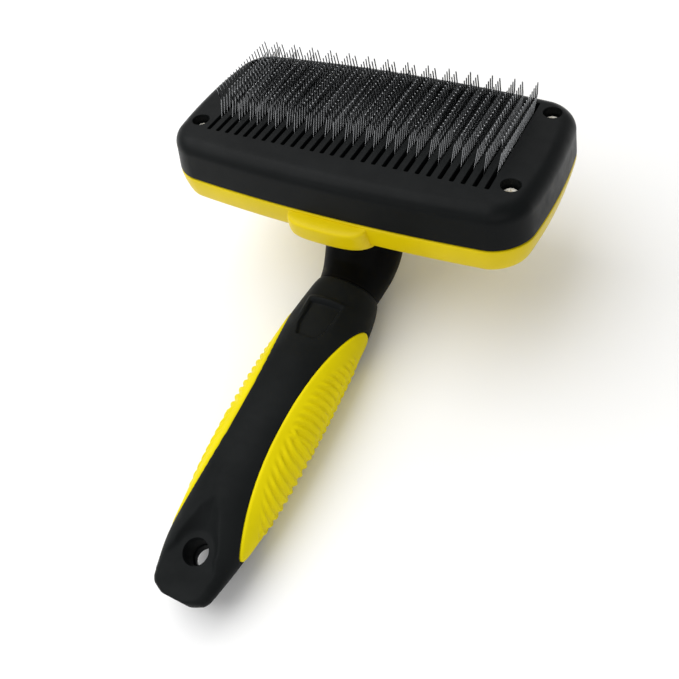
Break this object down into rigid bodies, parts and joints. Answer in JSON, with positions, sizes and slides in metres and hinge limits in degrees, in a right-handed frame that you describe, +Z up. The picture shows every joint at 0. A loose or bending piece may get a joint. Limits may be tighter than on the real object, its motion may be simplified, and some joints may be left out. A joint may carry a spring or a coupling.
{
  "type": "self-cleaning slicker brush",
  "caption": "Pet slicker brush with a wide pin head on an angled handle; pushing the tab slides the head housing forward and up so the wire pins draw in.",
  "frame": {"origin": "centre of the overall box at its base, where the flat underside of the handle rests", "axes": "+Y along the handle towards the head, +Z up out of the pin face, +X along the wide side of the head"},
  "size_m": [0.122, 0.1728, 0.0676],
  "materials": {
    "black_plastic": "satin",
    "black_rubber": "matte",
    "yellow_rubber": "matte",
    "cushion": "matte",
    "pin_wire": "polished",
    "screw_steel": "satin",
    "cover_plastic": "satin",
    "yellow_plastic": "gloss"
  },
  "bodies": {
    "handle": {"handle_core": "black_plastic", "handle_sleeve": "black_rubber", "left_grip": "yellow_rubber", "right_grip": "yellow_rubber", "pin_carrier": "black_plastic", "foam_cushion": "cushion", "pin_foundation": "cushion", "staples_01": "pin_wire", "staples_02": "pin_wire", "staples_03": "pin_wire", "staples_04": "pin_wire", "staples_05": "pin_wire", "staples_06": "pin_wire", "staples_07": "pin_wire", "staples_08": "pin_wire", "staples_09": "pin_wire", "staples_10": "pin_wire", "staples_11": "pin_wire", "staples_12": "pin_wire", "staples_13": "pin_wire", "staples_14": "pin_wire", "carrier_screws": "screw_steel", "guide_pins": "screw_steel"},
    "head_housing": {"face_cover": "cover_plastic", "back_shell": "yellow_plastic", "cover_screws": "screw_steel", "return_springs": "screw_steel"}
  },
  "joints": [
    {"name": "housing_slide", "type": "slide", "parent": "handle", "child": "head_housing", "axis": [0, 0.7604, 0.6494], "range_m": [0, 0.012], "stiffness_N_per_m": 1000, "springref_m": -0.003, "deforming": ["return_springs"]}
  ]
}
